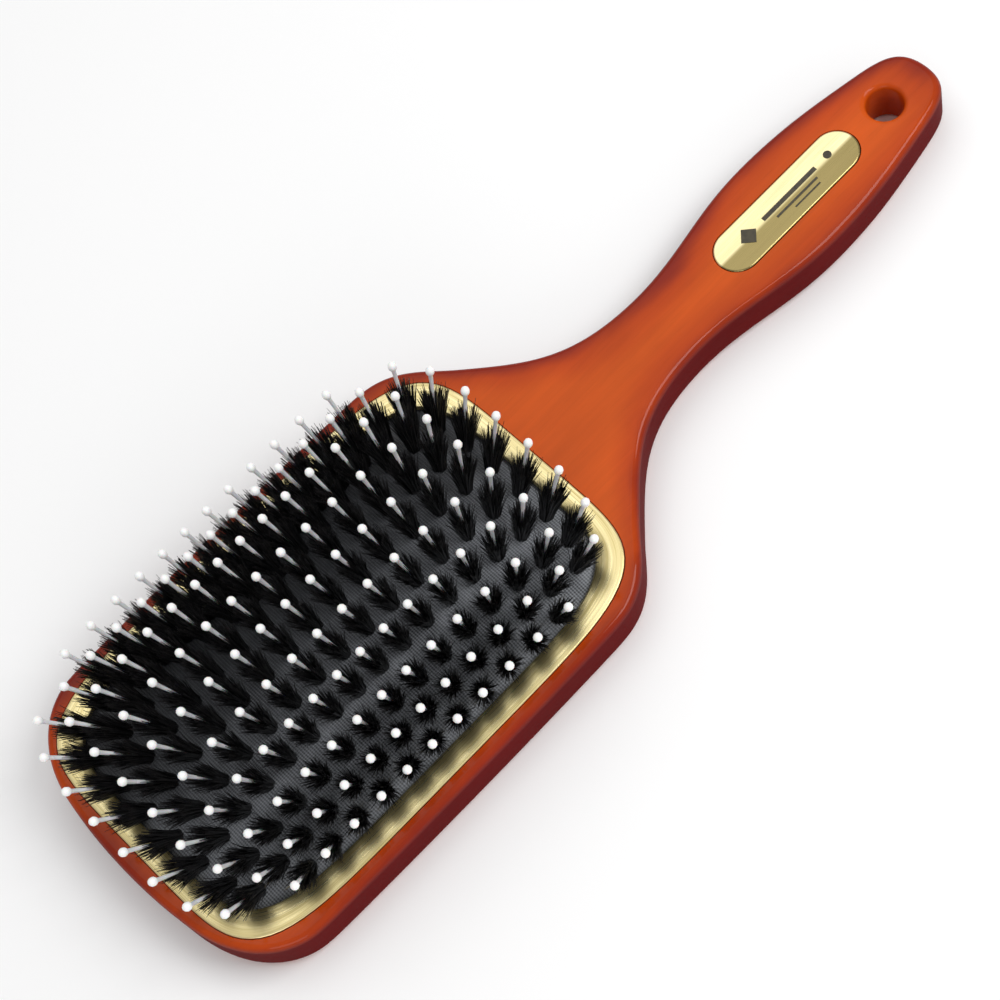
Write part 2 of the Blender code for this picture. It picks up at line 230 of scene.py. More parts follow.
def makeStreakGroup():
    # noise drawn out along the axes by a scale for each, as a value round 0.5
    group = bpy.data.node_groups.new("streaks", "ShaderNodeTree")
    group.interface.new_socket("Vector", in_out="INPUT", socket_type="NodeSocketVector")
    group.interface.new_socket("Stretch", in_out="INPUT", socket_type="NodeSocketVector")
    group.interface.new_socket("Detail", in_out="INPUT", socket_type="NodeSocketFloat")
    group.interface.new_socket("Value", in_out="OUTPUT", socket_type="NodeSocketFloat")
    inside = addNode(group, "NodeGroupInput")
    outside = addNode(group, "NodeGroupOutput")
    stretch = addNode(group, "ShaderNodeVectorMath", operation="MULTIPLY")
    noise = addNode(group, "ShaderNodeTexNoise")
    noise.inputs["Scale"].default_value = 1.0
    group.links.new(inside.outputs["Vector"], stretch.inputs[0])
    group.links.new(inside.outputs["Stretch"], stretch.inputs[1])
    group.links.new(stretch.outputs[0], noise.inputs["Vector"])
    group.links.new(inside.outputs["Detail"], noise.inputs["Detail"])
    group.links.new(noise.outputs["Fac"], outside.inputs["Value"])
    return group


streakGroup = makeStreakGroup()


def streaks(tree, vector, stretch, detail=2.0):
    made = addNode(tree, "ShaderNodeGroup")
    made.node_tree = streakGroup
    tree.links.new(vector, made.inputs["Vector"])
    made.inputs["Stretch"].default_value = stretch
    made.inputs["Detail"].default_value = detail
    return made.outputs["Value"]


def bumpFrom(tree, height, strength, distance, before=None):
    made = addNode(tree, "ShaderNodeBump")
    made.inputs["Strength"].default_value = strength
    made.inputs["Distance"].default_value = distance
    tree.links.new(height, made.inputs["Height"])
    if before is not None:
        tree.links.new(before, made.inputs["Normal"])
    return made.outputs["Normal"]


def newMaterial(name, **plain):
    material = bpy.data.materials.new(name)
    material.use_nodes = True
    tree = material.node_tree
    shader = tree.nodes["Principled BSDF"]
    for key, value in plain.items():
        isColour = isinstance(value, tuple) and len(value) == 3
        socket = shader.inputs[key.replace("_", " ")]
        socket.default_value = (*value, 1.0) if isColour else value
    place = addNode(tree, "ShaderNodeTexCoord").outputs["Object"]
    return material, tree, shader, place


# camera: above the brush, a little to the right of the head, rolled so the handle runs to a corner

camera = {
    "place": (220.2 * mm, -36.6 * mm, 488.7 * mm),
    "aim": (-3.65 * mm, 49.44 * mm, 0.0),
    "rollDegrees": -26.01,
    "lens": 88.64,
    "sensor": 36.0,
}


def makeCamera():
    made = bpy.data.objects.new("camera", bpy.data.cameras.new("camera"))
    scene.collection.objects.link(made)
    made.data.lens = camera["lens"]
    made.data.sensor_width = camera["sensor"]
    made.data.clip_start = 0.01
    back = (Vector(camera["place"]) - Vector(camera["aim"])).normalized()
    right = Vector((0, 0, 1)).cross(back).normalized()
    up = back.cross(right)
    roll = math.radians(camera["rollDegrees"])
    rolledRight = right * math.cos(roll) + up * math.sin(roll)
    rolledUp = up * math.cos(roll) - right * math.sin(roll)
    turned = Matrix((rolledRight, rolledUp, back)).transposed().to_4x4()
    made.matrix_world = Matrix.Translation(camera["place"]) @ turned
    scene.camera = made


makeCamera()

# floor and light

studio = {
    "floorColour": (0.95, 0.95, 0.95),
    "worldStrength": 0.54,
    "floorGap": 0.2 * mm,
    # place, aim, size and power of each lamp; the panel is where the flat metal mirrors it
    "keySoftbox": ((0.35, 0.45, 0.7), (0.0, 0.04, 0.0), (0.5, 0.35), 3.5),
    "fillSoftbox": ((0.6, -0.5, 0.35), (0.0, 0.0, 0.0), (0.5, 0.3), 1.0),
    "ceilingPanel": ((-0.38, 0.16, 0.88), (0.0, 0.05, 0.0), (0.9, 0.9), 2.0),
}


def makeFloor():
    bm = bmesh.new()
    bmesh.ops.create_grid(bm, x_segments=1, y_segments=1, size=3.0)
    bmesh.ops.translate(bm, verts=bm.verts, vec=(0, 0, woodLow.z - studio["floorGap"]))
    material = newMaterial("paleFloor", Base_Color=studio["floorColour"], Roughness=0.7)[0]
    floor = objectFrom("floor", bm, material)


def areaLight(name, place, aim, size, power):
    light = bpy.data.lights.new(name, "AREA")
    light.shape = "RECTANGLE"
    light.size, light.size_y = size
    light.energy = power
    made = bpy.data.objects.new(name, light)
    scene.collection.objects.link(made)
    made.location = place
    made.rotation_euler = (Vector(aim) - Vector(place)).to_track_quat("-Z", "Y").to_euler()


def makeLights():
    world = bpy.data.worlds.new("studio")
    scene.world = world
    world.use_nodes = True
    background = world.node_tree.nodes["Background"]
    background.inputs["Color"].default_value = (1.0, 1.0, 1.0, 1.0)
    background.inputs["Strength"].default_value = studio["worldStrength"]
    for name in ("keySoftbox", "fillSoftbox", "ceilingPanel"):
        areaLight(name, *studio[name])
    scene.view_settings.view_transform = "Standard"


makeFloor()
makeLights()
print("stage ready")

# settings of the cushion, which also give the ring and the pocket their outline

cushion = {
    "squareness": 5.5,
    "domePower": 3.0,
    "thick": 1.2 * mm,
    "ringGap": 0.3 * mm,
    "ringPoints": 176,
    "rings": 34,
    "ribPitch": 0.65 * mm,
    "threadPitch": 0.5 * mm,
    # the two colours are mixed by the ribs, by dust and by painted shade that darkens the left side
    "darkColour": (0.016, 0.017, 0.021),
    "dustAndLightColour": (0.42, 0.44, 0.475),
    "shadeFrom": -16 * mm,
    "shadeTo": 18 * mm,
}

# lacquered wooden head and handle

wood = {
    "corner": 20.0 * mm,
    "shoulderDrop": 21.2 * mm,
    "slopeIn": 14.2 * mm,
    "neckHalf": 9.7 * mm,
    "neckRise": 36.8 * mm,
    "gripHalf": 14.4 * mm,
    "gripRise": 39.0 * mm,
    "tailHalf": 11.0 * mm,
    "tailRise": 31.5 * mm,
    "tailLean": 0.19,
    "holeBack": 13.6 * mm,
    "holeRadius": 4.3 * mm,
    "holeRound": 1.3 * mm,
    "topRound": 1.8 * mm,
    "backRound": 3.0 * mm,
    "seatGap": 0.15 * mm,
    "pocketFloor": 5.0 * mm,
    "steps": 22,
    "stationCount": 22,
    # the burst of painted shade at the rim and painted light in the middle of the top face: how it
    # fades at the tail, where its middle lies and how it wavers
    "tailFade": 0.45,
    "burstOff": 1.1 * mm,
    "wobble": 1.6 * mm,
    "rimShadeBand": (-0.5 * mm, 4.0 * mm),
    "middleLightBand": (2.0 * mm, 11.0 * mm),
    "sideBand": (2.4 * mm, 0.1 * mm),
    "boreFade": 1.5 * mm,
    "mottle": (70.0, 28.0, 70.0),
    "grain": (850.0, 45.0, 850.0),
    "pores": (3200.0, 130.0, 3200.0),
    "clouds": (45.0, 30.0, 45.0),
    "waves": (160.0, 90.0, 160.0),
    "edgeColour": (0.115, 0.004, 0.004),
    # painted shade darkens the rim of the top face, painted light brightens its middle
    "rimShadeColour": (0.23, 0.017, 0.007),
    "middleColour": (0.46, 0.052, 0.004),
    "middleLightColour": (0.58, 0.084, 0.006),
}


def bodyOutline():
    # the right half from the middle of the front edge to the tail, then mirrored and smoothed
    headHalf, low, end = woodHigh.x, -woodLow.y, woodHigh.y
    corner, sag = wood["corner"], 0.09 * wood["corner"]
    cornerX, cornerY = headHalf - corner, -low + corner
    cornerStart = (cornerX, -low + sag)
    cornerEnd = (headHalf - 0.25 * sag, cornerY)
    shoulder = (cornerEnd[0], low - wood["shoulderDrop"])
    slope = (headHalf - wood["slopeIn"], low)
    neck = (wood["neckHalf"], low + wood["neckRise"])
    grip = (wood["gripHalf"], neck[1] + wood["gripRise"])
    tail = (wood["tailHalf"], grip[1] + wood["tailRise"])
    steps = wood["steps"]
    half = curveBetween(
        (0, -low), (cornerX / 2, -low), (cornerX * 0.78, -low + 0.62 * sag), cornerStart, steps
    )
    half += curveBetween(
        cornerStart,
        (cornerX + 0.58 * corner, cornerStart[1] + 0.11 * corner),
        (cornerEnd[0] - 0.04 * corner, cornerY - 0.43 * corner),
        cornerEnd,
        steps,
    )
    bulge = headHalf + (headHalf - cornerEnd[0]) / 3
    third = (shoulder[1] - cornerY) / 3
    half += curveBetween(
        cornerEnd, (bulge, cornerY + third), (bulge, shoulder[1] - third), shoulder, 2 * steps
    )
    half += curveBetween(
        shoulder,
        (shoulder[0] - 0.1 * sag, shoulder[1] + 0.55 * wood["shoulderDrop"]),
        (slope[0] + 0.36 * (shoulder[0] - slope[0]), slope[1] - 0.26 * wood["shoulderDrop"]),
        slope,
        steps,
    )
    half += curveBetween(
        slope,
        (slope[0] - 0.62 * (slope[0] - neck[0]), slope[1] + 0.3 * wood["neckRise"]),
        (neck[0] + 0.02 * (slope[0] - neck[0]), neck[1] - 0.52 * wood["neckRise"]),
        neck,
        steps,
    )
    reach = wood["gripRise"] / 2.6
    half += curveBetween(neck, (neck[0], neck[1] + reach), (grip[0], grip[1] - reach), grip, steps)
    reach, lean = wood["tailRise"] / 2.6, wood["tailLean"]
    half += curveBetween(
        grip, (grip[0], grip[1] + reach), (tail[0] + lean * reach, tail[1] - reach), tail, steps
    )
    reach = (end - tail[1]) * 0.61
    half += curveBetween(
        tail, (tail[0] - lean * reach, tail[1] + reach), (tail[0] * 0.785, end), (0, end), steps
    )
    left = [(-x, y) for x, y in reversed(half[1:])]
    return smoothedLoop(half + [(0, end)] + left, 5)


def holePlug():
    # the hanging hole: a straight bore, flared by a quarter round at each face
    radius, rounding, thick = wood["holeRadius"], wood["holeRound"], woodHigh.z
    turns = [math.radians(90 * step / 7) for step in range(8)]
    lower = [(radius + rounding * (1 - math.sin(a)), rounding * (1 - math.cos(a))) for a in turns]
    upper = [(r, thick - z) for r, z in reversed(lower)]
    profile = [(radius + rounding, -2 * mm)] + lower + upper + [(radius + rounding, thick + 2 * mm)]
    centreY = woodHigh.y - wood["holeBack"]
    around = [math.tau * step / 64 for step in range(64)]
    bm = bmesh.new()
    last = None
    for r, z in profile:
        outline = [(r * math.cos(angle), centreY + r * math.sin(angle)) for angle in around]
        edges = edgesOf(loopAt(bm, outline, z))
        if last is None:
            bmesh.ops.contextual_create(bm, geom=edges)
        else:
            bmesh.ops.bridge_loops(bm, edges=last + edges)
        last = edges
    bmesh.ops.contextual_create(bm, geom=last)
    bmesh.ops.recalc_face_normals(bm, faces=bm.faces)
    return bm


def lacqueredWood(outline):
    material, tree, shader, place = newMaterial(
        "lacqueredWood",
        Roughness=0.38,
        Specular_IOR_Level=0.0,
        Coat_Weight=0.4,
        Coat_Roughness=0.05,
        Coat_IOR=1.45,
    )
    split = addNode(tree, "ShaderNodeSeparateXYZ")
    tree.links.new(place, split.inputs[0])
    # how far inside the outline a point is, from the outline's half width along the brush
    along = rangeNode(tree, split.outputs["Y"], woodLow.y, woodHigh.y)
    widths = addNode(tree, "ShaderNodeFloatCurve")
    tree.links.new(along, widths.inputs["Value"])
    right = [point for point in outline if point[0] >= 0]
    stations = right[:: len(right) // wood["stationCount"]] + [right[-1]]
    curve = widths.mapping.curves[0]
    ends = (curve.points[0], curve.points[1])
    ends[0].location = (0.0, 0.9)
    ends[1].location = (1.0, 0.0)
    for x, y in stations:
        share = (y - woodLow.y) / (woodHigh.y - woodLow.y)
        if 0.06 < share < 0.985:
            curve.points.new(share, x / woodHigh.x)
    widths.mapping.update()
    halfWidth = mathNode(tree, "MULTIPLY", widths.outputs["Value"], woodHigh.x)
    fromCentre = mathNode(tree, "SUBTRACT", split.outputs["X"], wood["burstOff"])
    inside = mathNode(tree, "SUBTRACT", halfWidth, mathNode(tree, "ABSOLUTE", fromCentre))
    # the front edge and its two round corners
    pastX = mathNode(tree, "ABSOLUTE", split.outputs["X"])
    pastX = mathNode(tree, "SUBTRACT", pastX, woodHigh.x - wood["corner"])
    pastX = mathNode(tree, "MAXIMUM", pastX, 0.0)
    pastY = mathNode(tree, "SUBTRACT", woodLow.y + wood["corner"], split.outputs["Y"])
    pastY = mathNode(tree, "MAXIMUM", pastY, 0.0)
    fromCorner = mathNode(tree, "SUBTRACT", wood["corner"], distanceNode(tree, pastX, pastY))
    inside = mathNode(tree, "MINIMUM", inside, fromCorner)
    fromTail = mathNode(tree, "SUBTRACT", woodHigh.y, split.outputs["Y"])
    inside = mathNode(tree, "MINIMUM", inside, mathNode(tree, "MULTIPLY", fromTail, wood["tailFade"]))
    mottle = streaks(tree, place, wood["mottle"], 3.0)
    wobble = rangeNode(tree, mottle, 0.3, 0.7, -wood["wobble"], wood["wobble"])
    inside = mathNode(tree, "ADD", inside, wobble)
    # painted shade darkens the rim of the top face and painted light brightens its middle
    rimShade = rangeNode(tree, inside, *wood["rimShadeBand"], smooth=True)
    deep = rangeNode(tree, inside, *wood["middleLightBand"], smooth=True)
    colour = mixColour(tree, rimShade, wood["rimShadeColour"], wood["middleColour"])
    colour = mixColour(tree, deep, colour, wood["middleLightColour"])
    # the side walls carry the darkest stain
    half = woodHigh.z / 2
    sideDark, sideEnd = wood["sideBand"]
    fromMiddle = mathNode(tree, "ABSOLUTE", mathNode(tree, "SUBTRACT", split.outputs["Z"], half))
    face = rangeNode(tree, fromMiddle, half - sideDark, half - sideEnd, smooth=True)
    # the bore of the hanging hole keeps the colour of the top
    fromHole = mathNode(tree, "SUBTRACT", split.outputs["Y"], woodHigh.y - wood["holeBack"])
    fromHole = distanceNode(tree, split.outputs["X"], fromHole)
    boreEnd = wood["holeRadius"] + wood["holeRound"]
    nearHole = rangeNode(tree, fromHole, boreEnd, boreEnd + wood["boreFade"], 1.0, 0.0)
    face = mathNode(tree, "MAXIMUM", face, nearHole)
    colour = mixColour(tree, face, wood["edgeColour"], colour)
    grain = streaks(tree, place, wood["grain"], 4.0)
    pores = streaks(tree, place, wood["pores"], 1.0)
    shade = rangeNode(tree, grain, 0.3, 0.7, 0.94, 1.04)
    poreShade = rangeNode(tree, pores, 0.62, 0.74, 1.0, 0.93)
    clouds = streaks(tree, place, wood["clouds"], 3.0)
    cloudShade = rangeNode(tree, clouds, 0.3, 0.7, 0.88, 1.08)
    shade = mathNode(tree, "MULTIPLY", shade, cloudShade)
    shade = mathNode(tree, "MULTIPLY", shade, poreShade)
    tone = addNode(tree, "ShaderNodeCombineXYZ")
    for socket in tone.inputs:
        tree.links.new(shade, socket)
    colour = mixColour(tree, 1.0, colour, tone.outputs[0], "MULTIPLY")
    tree.links.new(colour, shader.inputs["Base Color"])
    wave = streaks(tree, place, wood["waves"], 2.0)
    tree.links.new(bumpFrom(tree, wave, 0.25, 0.12 * mm), shader.inputs["Normal"])
    tree.links.new(rangeNode(tree, grain, 0.3, 0.7, 0.34, 0.44), shader.inputs["Roughness"])
    tree.links.new(rangeNode(tree, face, 0.0, 0.6, 0.1, 0.4), shader.inputs["Coat Weight"])
    return material


def makeWood():
    outline = bodyOutline()
    bm = slab(outline, 0.0, woodHigh.z)
    roundEdgesAt(bm, woodHigh.z, wood["topRound"], 6)
    roundEdgesAt(bm, 0.0, wood["backRound"], 7)
    piece = objectFrom("woodBody", bm, lacqueredWood(outline))
    above = woodHigh.z + 5 * mm
    gap, count = wood["seatGap"], cushion["ringPoints"]
    seat = padOutline(ringHigh.x + gap, ringHigh.y + gap, count)
    pocket = padOutline(rubberHigh.x + gap, rubberHigh.y + gap, count)
    badgeMiddle = (badgeLow.y + badgeHigh.y) / 2
    badgeHalf = (badgeHigh.y - badgeLow.y) / 2
    recess = stadiumOutline(badgeHigh.x + gap, badgeHalf + gap, badgeMiddle)
    carve(
        piece,
        slab(seat, ringLow.z - gap, above),
        slab(pocket, wood["pocketFloor"], above),
        slab(recess, badgeLow.z - 1.0 * mm, above),
        holePlug(),
    )
    shadeSmooth(piece, 32)
    piece.modifiers.new("facing", "WEIGHTED_NORMAL").keep_sharp = True
    settle(piece, "body", "lacquered_wood", "wood_body")


makeWood()

# gold trim ring

ring = {
    "width": 5.0 * mm,
    "edge": 0.35 * mm,
    "crown": 0.17 * mm,
    "colour": (1.0, 0.88, 0.50),
    # the shade colour in the brushed lines and bands is partly real brushing and partly painted
    # reflection of the dark tufts
    "shadeColour": (0.60, 0.48, 0.19),
    "roughness": 0.3,
    "relief": 0.4,
}


def goldMaterial(name, look, across):
    # pale gold; across names the attribute that counts over the metal, or None for lines along Y
    material, tree, shader, place = newMaterial(name, Metallic=1.0)
    if across:
        count = addNode(tree, "ShaderNodeAttribute", attribute_name=across).outputs["Fac"]
        split = addNode(tree, "ShaderNodeSeparateXYZ")
        tree.links.new(place, split.inputs[0])
        joined = addNode(tree, "ShaderNodeCombineXYZ")
        tree.links.new(mathNode(tree, "MULTIPLY", count, ring["width"]), joined.inputs["X"])
        tree.links.new(split.outputs["X"], joined.inputs["Y"])
        tree.links.new(split.outputs["Y"], joined.inputs["Z"])
        vector = joined.outputs[0]
        stretch, coarse = (9000.0, 35.0, 35.0), (1500.0, 60.0, 60.0)
    else:
        vector = place
        stretch, coarse = (9000.0, 90.0, 90.0), (900.0, 40.0, 40.0)
    lines = streaks(tree, vector, stretch, 2.0)
    bands = streaks(tree, vector, coarse, 1.0)
    lines = mathNode(tree, "MULTIPLY", lines, 0.6)
    bands = mathNode(tree, "MULTIPLY", bands, 0.4)
    both = mathNode(tree, "ADD", lines, bands)
    colourMix = rangeNode(tree, both, 0.35, 0.65)
    colour = mixColour(tree, colourMix, look["shadeColour"], look["colour"])
    if "darkColour" in look:
        # painted reflection: one long half of the plate is darker, as if it mirrored darker
        # surroundings
        split = addNode(tree, "ShaderNodeSeparateXYZ")
        tree.links.new(place, split.inputs[0])
        darkReflection = rangeNode(tree, split.outputs["X"], -look["reflectionBlend"], look["reflectionBlend"], smooth=True)
        colour = mixColour(tree, darkReflection, colour, look["darkColour"])
    tree.links.new(colour, shader.inputs["Base Color"])
    rough = look["roughness"]
    roughness = rangeNode(tree, both, 0.35, 0.65, rough + 0.1, rough - 0.06)
    tree.links.new(roughness, shader.inputs["Roughness"])
    tree.links.new(bumpFrom(tree, both, look["relief"], 0.05 * mm), shader.inputs["Normal"])
    return material


def makeRing():
    width, edge, high, low = ring["width"], ring["edge"], ringHigh.z, ringLow.z
    turns = [math.radians(90 * step / 4) for step in range(5)]
    rise = [(edge * (1 - math.cos(a)), high - edge * (1 - math.sin(a))) for a in turns]
    flat = [
        (edge + (width - 2 * edge) * step / 8, high + ring["crown"] * math.sin(math.pi * step / 8))
        for step in range(1, 8)
    ]
    fall = [(width - inset, z) for inset, z in reversed(rise)]
    profile = [(0.0, low)] + rise + flat + fall + [(width, low)]
    bm = bmesh.new()
    across = bm.verts.layers.float.new("across")
    loops = []
    for inset, z in profile:
        outline = padOutline(ringHigh.x - inset, ringHigh.y - inset, cushion["ringPoints"])
        verts = loopAt(bm, outline, z)
        for vert in verts:
            vert[across] = inset / width
        loops.append(edgesOf(verts))
    for first, second in zip(loops, loops[1:] + loops[:1]):
        bmesh.ops.bridge_loops(bm, edges=first + second)
    bmesh.ops.recalc_face_normals(bm, faces=bm.faces)
    gold = goldMaterial("brushedBrass", ring, "across")
    piece = objectFrom("trimRing", bm, gold)
    shadeSmooth(piece, 50)
    settle(piece, "body", "brushed_brass", "trim_ring")


makeRing()

# domed rubber cushion

domeHalfWidth = ringHigh.x - ring["width"] - cushion["ringGap"]
domeHalfLength = ringHigh.y - ring["width"] - cushion["ringGap"]
domeBase = rubberLow.z + cushion["thick"]
domeHeight = rubberHigh.z - domeBase


def domeTop(x, y):
    power = cushion["squareness"]
    rho = (abs(x / domeHalfWidth) ** power + abs(y / domeHalfLength) ** power) ** (1 / power)
    return domeBase + domeHeight * max(0.0, 1 - rho ** cushion["domePower"])


def ribbedRubber():
    material, tree, shader, place = newMaterial("ribbedRubber", Specular_IOR_Level=0.45)
    split = addNode(tree, "ShaderNodeSeparateXYZ")
    tree.links.new(place, split.inputs[0])
    turn = math.tau / cushion["ribPitch"]
    ribs = mathNode(tree, "SINE", mathNode(tree, "MULTIPLY", split.outputs["Y"], turn))
    turn = math.tau / cushion["threadPitch"]
    threads = mathNode(tree, "SINE", mathNode(tree, "MULTIPLY", split.outputs["X"], turn))
    weave = mathNode(tree, "ADD", ribs, mathNode(tree, "MULTIPLY", threads, 0.55))
    dust = streaks(tree, place, (120.0, 120.0, 120.0), 5.0)
    shade = rangeNode(tree, weave, -1.5, 1.5, 0.0, 0.6)
    shade = mathNode(tree, "ADD", shade, rangeNode(tree, dust, 0.35, 0.7, 0.0, 0.4))
    # painted shade: the left side is darker, the right side lighter
    paintedSideLight = rangeNode(
        tree, split.outputs["X"], cushion["shadeFrom"], cushion["shadeTo"], 0.18, 1.0, smooth=True
    )
    shade = mathNode(tree, "MULTIPLY", shade, paintedSideLight)
    colour = mixColour(tree, shade, cushion["darkColour"], cushion["dustAndLightColour"])
    tree.links.new(colour, shader.inputs["Base Color"])
    tree.links.new(rangeNode(tree, dust, 0.3, 0.7, 0.38, 0.55), shader.inputs["Roughness"])
    tree.links.new(bumpFrom(tree, weave, 0.9, 0.06 * mm), shader.inputs["Normal"])
    return material


def makeCushion():
    bm = bmesh.new()
    count = cushion["ringPoints"]
    rim = padOutline(rubberHigh.x, rubberHigh.y, count)
    under = edgesOf(loopAt(bm, rim, rubberLow.z))
    loops = [under, edgesOf(loopAt(bm, rim, domeBase))]
    for step in range(cushion["rings"]):
        share = 1 - (step / cushion["rings"]) ** 1.25
        outline = padOutline(domeHalfWidth * share, domeHalfLength * share, count)
        height = domeBase + domeHeight * (1 - share ** cushion["domePower"])
        loops.append(edgesOf(loopAt(bm, outline, height)))
    for outer, inner in zip(loops, loops[1:]):
        bmesh.ops.bridge_loops(bm, edges=outer + inner)
    bmesh.ops.contextual_create(bm, geom=under)
    bmesh.ops.contextual_create(bm, geom=loops[-1])
    bmesh.ops.recalc_face_normals(bm, faces=bm.faces)
    piece = objectFrom("rubberCushion", bm, ribbedRubber())
    shadeSmooth(piece, 60)
    settle(piece, "body", "black_rubber", "cushion_membrane")
    height = rubberHigh.z - rubberLow.z
    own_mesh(piece)


makeCushion()

# bristle tufts and ball-tipped pins, a piece for each column

rows = {
    "columns": (
        ("a", -0.895, "even"),
        ("b", -0.760, "odd"),
        ("c", -0.599, "even"),
        ("d", -0.371, "odd"),
        ("e", -0.129, "odd"),
        ("f", 0.129, "odd"),
        ("g", 0.371, "even"),
        ("h", 0.599, "odd"),
        ("i", 0.760, "even"),
        ("j", 0.895, "odd"),
    ),
    "pitch": 6.8 * mm,
    "sideMargin": 2.3 * mm,
    "endMargin": 3.9 * mm,
    # slopes as the share of the dome, and its cube, grow outward
    "leanAcross": (0.246, 0.280),
    "leanAlong": (-0.050, 0.700),
    "leanForward": -0.13,
    "sink": 1.5 * mm,
}

bristle = {
    "variants": 8,
    "strands": 230,
    "height": 12.6 * mm,
    "thick": 0.19 * mm,
    "footRadius": 1.4 * mm,
    "topRadius": 3.5 * mm,
    # how a hair differs from the next: its fan, its stray, its length, its bend and its thickness
    "fanShare": 0.9,
    "fanSpread": (-0.16, 0.26),
    "stray": 0.22 * mm,
    "tallSpread": (0.80, 1.06),
    "outerShorter": 0.10,
    "bendSpread": (0.45, 0.85),
    "thickSpread": (0.8, 1.2),
    "colour": (0.006, 0.006, 0.007),
    "tipColour": (0.020, 0.018, 0.018),
}

pin = {
    "height": 17.3 * mm,
    "shaft": 0.36 * mm,
    "neck": 0.50 * mm,
    "ball": 1.02 * mm,
    "ballLength": 1.25 * mm,
    "sides": 10,
    "shaftColours": ((0.82, 0.84, 0.87), (0.93, 0.94, 0.95)),
    "ballColours": ((0.93, 0.93, 0.92), (0.97, 0.97, 0.96)),
}


def tuftPlaces(x, count):
    edgeShare = (abs(x) + rows["sideMargin"]) / domeHalfWidth
    power = cushion["squareness"]
    reach = domeHalfLength * (1 - edgeShare**power) ** (1 / power) - rows["endMargin"]
    spaces = 2 * reach / rows["pitch"]
    spaces = 2 * round(spaces / 2) if count == "odd" else 2 * math.floor(spaces / 2) + 1
    return [reach * (2 * index / spaces - 1) for index in range(spaces + 1)]


def leaning(share, terms):
    return terms[0] * share + terms[1] * share**3


def stemMatrix(x, y, spin):
    # a frame whose Z runs up a tuft or pin from its root under the rubber
    slopeX = leaning(x / domeHalfWidth, rows["leanAcross"])
    slopeY = rows["leanForward"] + leaning(y / domeHalfLength, rows["leanAlong"])
    turn = Vector((slopeX, slopeY, 1.0)).to_track_quat("Z", "Y").to_matrix().to_4x4()
    root = Vector((x, y, domeTop(x, y) - rows["sink"]))
    return Matrix.Translation(root) @ turn @ Matrix.Rotation(spin, 4, "Z")


def strandMesh():
    bm = bmesh.new()
    raised = Matrix.Translation((0, 0, 0.5))
    bmesh.ops.create_cone(
        bm, cap_ends=True, segments=3, radius1=1.0, radius2=0.3, depth=1.0, matrix=raised
    )
    upright = [edge for edge in bm.edges if abs(edge.verts[0].co.z - edge.verts[1].co.z) > 0.5]
    bmesh.ops.subdivide_edges(bm, edges=upright, cuts=3)
    bmesh.ops.triangulate(bm, faces=[face for face in bm.faces if len(face.verts) > 4])
    mesh = bpy.data.meshes.new("strand")
    bm.to_mesh(mesh)
    bm.free()
    return mesh


def tuftMesh(strand, seed):
    # hairs spread over a round foot, fanned out and bent a little, each with its own length
    draw = random.Random(seed)
    bm = bmesh.new()
    height = bristle["height"] + rows["sink"]
    for _ in range(bristle["strands"]):
        share = math.sqrt(draw.random())
        angle = draw.uniform(0, math.tau)
        outward = Vector((math.cos(angle), math.sin(angle), 0))
        foot = outward * share * bristle["footRadius"]
        fan = share * bristle["fanShare"] + draw.uniform(*bristle["fanSpread"])
        stray = Vector((draw.gauss(0, bristle["stray"]), draw.gauss(0, bristle["stray"]), 0))
        top = outward * bristle["topRadius"] * fan + stray
        tall = height * (draw.uniform(*bristle["tallSpread"]) - bristle["outerShorter"] * share)
        bend = draw.uniform(*bristle["bendSpread"])
        thick = bristle["thick"] * draw.uniform(*bristle["thickSpread"])
        spin = Matrix.Rotation(draw.uniform(0, math.tau), 3, "Z")
        bm.from_mesh(strand)
        bm.verts.ensure_lookup_table()
        for vert in bm.verts[-len(strand.vertices):]:
            t = vert.co.z
            aside = spin @ Vector((vert.co.x, vert.co.y, 0)) * thick
            centre = foot.lerp(top, t * (1 - bend) + t * t * bend)
            vert.co = centre + aside + Vector((0, 0, tall * t))
    mesh = bpy.data.meshes.new("tuft")
    bm.to_mesh(mesh)
    bm.free()
    return mesh


def pinMesh():
    bm = bmesh.new()
    total = rows["sink"] + pin["height"]
    ballLow = total - pin["ballLength"]
    profile = [(pin["shaft"], 0.0), (pin["shaft"], ballLow * 0.6), (pin["neck"], ballLow + 0.08 * mm)]
    for step in range(1, 7):
        angle = math.radians(-72 + 162 * step / 6)
        profile.append((pin["ball"] * math.cos(angle), total + pin["ballLength"] * math.sin(angle)))
    verts = [bm.verts.new((r, 0, z)) for r, z in profile[:-1]]
    verts.append(bm.verts.new((0, 0, total + pin["ballLength"])))
    for first, second in zip(verts, verts[1:]):
        bm.edges.new((first, second))
    bmesh.ops.spin(
        bm,
        geom=bm.verts[:] + bm.edges[:],
        cent=(0, 0, 0),
        axis=(0, 0, 1),
        dvec=(0, 0, 0),
        angle=math.tau,
        steps=pin["sides"],
        use_merge=True,
        use_duplicate=False,
    )
    bmesh.ops.remove_doubles(bm, verts=bm.verts, dist=1e-6)
    bottom = [edge for edge in bm.edges if all(v.co.z < 1e-7 for v in edge.verts)]
    bmesh.ops.contextual_create(bm, geom=bottom)
    bmesh.ops.recalc_face_normals(bm, faces=bm.faces)
    for face in bm.faces:
        face.smooth = True
        face.material_index = 1 if face.calc_center_median().z > ballLow + 0.1 * mm else 0
    mesh = bpy.data.meshes.new("pin")
    bm.to_mesh(mesh)
    bm.free()
    return mesh


def bristleMaterial():
    material, tree, shader, place = newMaterial("boarBristle", Specular_IOR_Level=0.5)
    split = addNode(tree, "ShaderNodeSeparateXYZ")
    tree.links.new(place, split.inputs[0])
    tone = streaks(tree, place, (900.0, 900.0, 60.0), 1.0)
    amount = rangeNode(tree, tone, 0.35, 0.75)
    colour = mixColour(tree, amount, bristle["colour"], bristle["tipColour"])
    tree.links.new(colour, shader.inputs["Base Color"])
    tree.links.new(rangeNode(tree, tone, 0.3, 0.7, 0.30, 0.45), shader.inputs["Roughness"])
    return material


